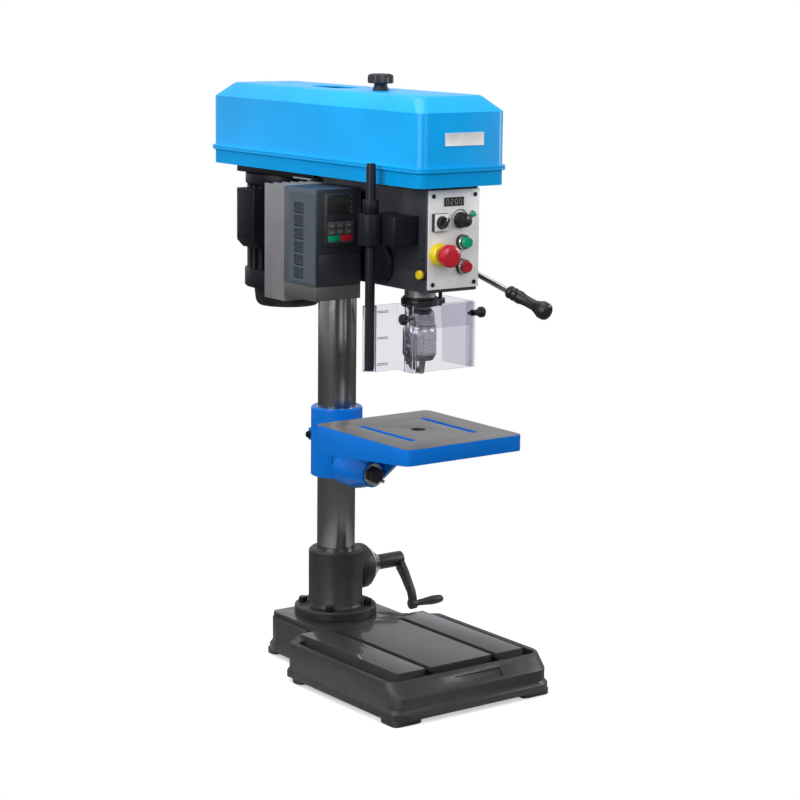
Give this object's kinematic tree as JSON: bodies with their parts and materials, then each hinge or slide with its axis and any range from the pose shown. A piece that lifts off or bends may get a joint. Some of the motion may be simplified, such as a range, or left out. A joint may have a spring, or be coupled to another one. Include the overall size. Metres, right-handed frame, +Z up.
{
  "type": "drill press",
  "caption": "Column drill press with a T-slotted base, tilting square table, cranked column lift, three-lever feed, keyed chuck behind a clear guard, belt cover and control panel.",
  "frame": {"origin": "middle of the machine's bounding box at the height of its feet; the column stands right of and behind it", "axes": "+X operator's right, -Y operator's side, +Z up"},
  "size_m": [0.4784, 0.8138, 1.231],
  "materials": {
    "dark_casting": "semi-gloss dark warm grey paint",
    "blue_casting": "gloss azure paint, top face ground",
    "blue_cover": "gloss azure powder coat",
    "steel": "ground steel",
    "black_steel": "black oxide",
    "black_plastic": "moulded black",
    "belt_rubber": "black belt",
    "white_panel": "white panel",
    "green_plastic": "gloss green",
    "red_plastic": "gloss red",
    "yellow_plastic": "gloss yellow",
    "slate_plastic": "dark slate moulding",
    "alloy": "bare aluminium",
    "clear_plastic": "transparent, lightly smoked"
  },
  "bodies": {
    "stand": {"base_casting": "dark_casting", "pedestal": "dark_casting", "flange_bolt_1": "black_steel", "flange_bolt_2": "black_steel", "flange_bolt_3": "black_steel", "flange_bolt_4": "black_steel", "lift_lock_ring": "steel"},
    "lift_crank": {"lift_shaft": "steel", "crank_arm": "dark_casting"},
    "crank_handle": {"crank_grip": "black_plastic"},
    "column_and_head": {"column": "steel", "head_casting": "dark_casting", "control_panel": "white_panel", "selector_body": "black_plastic", "estop_base": "yellow_plastic", "spring_cap": "dark_casting", "motor_plate": "alloy", "motor_body": "dark_casting", "fan_cowl": "black_plastic", "belt_cover_base": "blue_cover", "drive_belt": "belt_rubber", "inverter_housing": "slate_plastic", "inverter_heatsink": "alloy", "inverter_terminal_cover": "dark_casting", "guard_bracket": "dark_casting"},
    "table_slider": {"table_bush": "steel"},
    "table_arm": {"table_bracket": "blue_casting", "tilt_bolt": "black_steel"},
    "table_clamp": {"table_clamp_lever": "black_steel"},
    "table": {"table_top": "blue_casting"},
    "quill_slide_body": {"quill": "steel", "quill_collar": "black_steel"},
    "spindle_body": {"spindle": "steel", "chuck_body": "steel"},
    "chuck_ring": {"chuck_sleeve": "steel"},
    "jaw_1": {"chuck_jaw_1": "steel"},
    "jaw_2": {"chuck_jaw_2": "steel"},
    "jaw_3": {"chuck_jaw_3": "steel"},
    "feed": {"feed_shaft": "steel", "feed_hub": "black_steel", "feed_lever_1": "steel", "feed_lever_2": "steel", "feed_lever_3": "steel"},
    "driven_pulley": {"spindle_pulley": "alloy"},
    "driving_pulley": {"motor_pulley": "alloy"},
    "cover_lid": {"belt_cover_lid": "blue_cover", "badge_plate": "alloy"},
    "cover_knob": {"lid_knob": "black_plastic"},
    "start": {"start_button": "green_plastic"},
    "stop": {"stop_button": "red_plastic"},
    "emergency_stop": {"estop_button": "red_plastic"},
    "side_switch": {"side_button": "yellow_plastic"},
    "selector": {"selector_knob": "black_plastic"},
    "dial": {"speed_dial": "black_plastic"},
    "guard_clamp": {"guard_collar": "black_steel"},
    "guard_post": {"guard_rod": "black_steel", "guard_side_shield": "clear_plastic"},
    "guard_screen": {"guard_front_shield": "clear_plastic"},
    "screen_knob_left": {"guard_knob_left": "black_plastic"},
    "screen_knob_right": {"guard_knob_right": "black_plastic"}
  },
  "joints": [
    {"name": "column_lift", "type": "slide", "parent": "stand", "child": "column_and_head", "axis": [0, 0, 1], "range_m": [0, 0.1]},
    {"name": "crank_turn", "type": "hinge", "parent": "stand", "child": "lift_crank", "pos_m": [-0.04085, 0.12984, 0.166], "axis": [-1, 0, 0], "range_deg": [0, 478]},
    {"name": "crank_handle_spin", "type": "hinge", "parent": "lift_crank", "child": "crank_handle", "pos_m": [0.20915, 0.06984, 0.078], "axis": [1, 0, 0], "continuous": true},
    {"name": "table_lift", "type": "slide", "parent": "column_and_head", "child": "table_slider", "axis": [0, 0, 1], "range_m": [-0.14, 0.1]},
    {"name": "table_swing", "type": "hinge", "parent": "table_slider", "child": "table_arm", "pos_m": [-0.04085, 0.07984, 0.47], "axis": [0, 0, 1], "range_deg": [-180, 180]},
    {"name": "table_clamp_turn", "type": "hinge", "parent": "table_arm", "child": "table_clamp", "pos_m": [-0.05162, 0.14089, 0.4685], "axis": [0.9848, 0.1736, 0], "range_deg": [0, 60]},
    {"name": "table_tilt", "type": "hinge", "parent": "table_arm", "child": "table", "pos_m": [-0.04085, 0.01484, 0.413], "axis": [0, 1, 0], "range_deg": [-45, 45]},
    {"name": "quill_slide", "type": "slide", "parent": "column_and_head", "child": "quill_slide_body", "axis": [0, 0, 1], "range_m": [-0.085, 0], "stiffness_N_per_m": 450, "springref_m": 0.12},
    {"name": "feed_turn", "type": "hinge", "parent": "column_and_head", "child": "feed", "pos_m": [-0.04085, -0.15876, 0.867], "axis": [-1, 0, 0], "range_deg": [-325, 0]},
    {"name": "spindle_spin", "type": "hinge", "parent": "quill_slide_body", "child": "spindle_body", "pos_m": [-0.04085, -0.20276, 0.86], "axis": [0, 0, 1], "continuous": true},
    {"name": "spindle_pulley_spin", "type": "hinge", "parent": "column_and_head", "child": "driven_pulley", "pos_m": [-0.04085, -0.20276, 1.08], "axis": [0, 0, 1], "continuous": true},
    {"name": "motor_pulley_spin", "type": "hinge", "parent": "column_and_head", "child": "driving_pulley", "pos_m": [-0.04085, 0.26484, 1.08], "axis": [0, 0, 1], "continuous": true},
    {"name": "chuck_ring_turn", "type": "hinge", "parent": "spindle_body", "child": "chuck_ring", "pos_m": [-0.04085, -0.20276, 0.71], "axis": [0, 0, 1], "range_deg": [0, 143.2]},
    {"name": "jaw_1_slide", "type": "slide", "parent": "spindle_body", "child": "jaw_1", "axis": [-0.1504, -0.0868, -0.9848], "range_m": [0, 0.01]},
    {"name": "jaw_2_slide", "type": "slide", "parent": "spindle_body", "child": "jaw_2", "axis": [0.1504, -0.0868, -0.9848], "range_m": [0, 0.01]},
    {"name": "jaw_3_slide", "type": "slide", "parent": "spindle_body", "child": "jaw_3", "axis": [0, 0.1736, -0.9848], "range_m": [0, 0.01]},
    {"name": "lid_lift_off", "type": "slide", "parent": "column_and_head", "child": "cover_lid", "axis": [0, 0, 1], "range_m": [0, 0.15]},
    {"name": "lid_knob_turn", "type": "hinge", "parent": "cover_lid", "child": "cover_knob", "pos_m": [-0.04085, -0.06216, 1.2], "axis": [0, 0, 1], "range_deg": [0, 720]},
    {"name": "start_press", "type": "slide", "parent": "column_and_head", "child": "start", "axis": [0, 1, 0], "range_m": [0, 0.004], "stiffness_N_per_m": 600, "springref_m": -0.003},
    {"name": "stop_press", "type": "slide", "parent": "column_and_head", "child": "stop", "axis": [0, 1, 0], "range_m": [0, 0.004], "stiffness_N_per_m": 600, "springref_m": -0.003},
    {"name": "estop_press", "type": "slide", "parent": "column_and_head", "child": "emergency_stop", "axis": [0, 1, 0], "range_m": [0, 0.006], "stiffness_N_per_m": 600, "springref_m": -0.003},
    {"name": "side_switch_press", "type": "slide", "parent": "column_and_head", "child": "side_switch", "axis": [1, 0, 0], "range_m": [0, 0.003], "stiffness_N_per_m": 600, "springref_m": -0.003},
    {"name": "selector_turn", "type": "hinge", "parent": "column_and_head", "child": "selector", "pos_m": [-0.07835, -0.31816, 0.959], "axis": [0, 1, 0], "range_deg": [-45, 45]},
    {"name": "dial_turn", "type": "hinge", "parent": "column_and_head", "child": "dial", "pos_m": [-0.02685, -0.31016, 0.961], "axis": [0, 1, 0], "range_deg": [-135, 135]},
    {"name": "guard_swing", "type": "hinge", "parent": "column_and_head", "child": "guard_clamp", "pos_m": [-0.17585, -0.22016, 0.98], "axis": [0, 0, 1], "range_deg": [-110, 0]},
    {"name": "guard_height", "type": "slide", "parent": "guard_clamp", "child": "guard_post", "axis": [0, 0, 1], "range_m": [-0.06, 0.02]},
    {"name": "guard_screen_slide", "type": "slide", "parent": "guard_post", "child": "guard_screen", "axis": [0, 0, 1], "range_m": [-0.016, 0]},
    {"name": "screen_knob_left_turn", "type": "hinge", "parent": "guard_post", "child": "screen_knob_left", "pos_m": [-0.13085, -0.26666, 0.769], "axis": [1, 0, 0], "range_deg": [-360, 360]},
    {"name": "screen_knob_right_turn", "type": "hinge", "parent": "guard_post", "child": "screen_knob_right", "pos_m": [0.04915, -0.26666, 0.769], "axis": [1, 0, 0], "range_deg": [-360, 360]}
  ],
  "couplings": [
    {"joint": "crank_turn", "follows": "column_lift", "rad_per_m": 83.333},
    {"joint": "feed_turn", "follows": "quill_slide", "rad_per_m": 66.667},
    {"joint": "spindle_pulley_spin", "follows": "spindle_spin", "ratio": 1},
    {"joint": "motor_pulley_spin", "follows": "spindle_spin", "ratio": 1},
    {"joint": "jaw_1_slide", "follows": "chuck_ring_turn", "m_per_rad": 0.004},
    {"joint": "jaw_2_slide", "follows": "chuck_ring_turn", "m_per_rad": 0.004},
    {"joint": "jaw_3_slide", "follows": "chuck_ring_turn", "m_per_rad": 0.004}
  ]
}
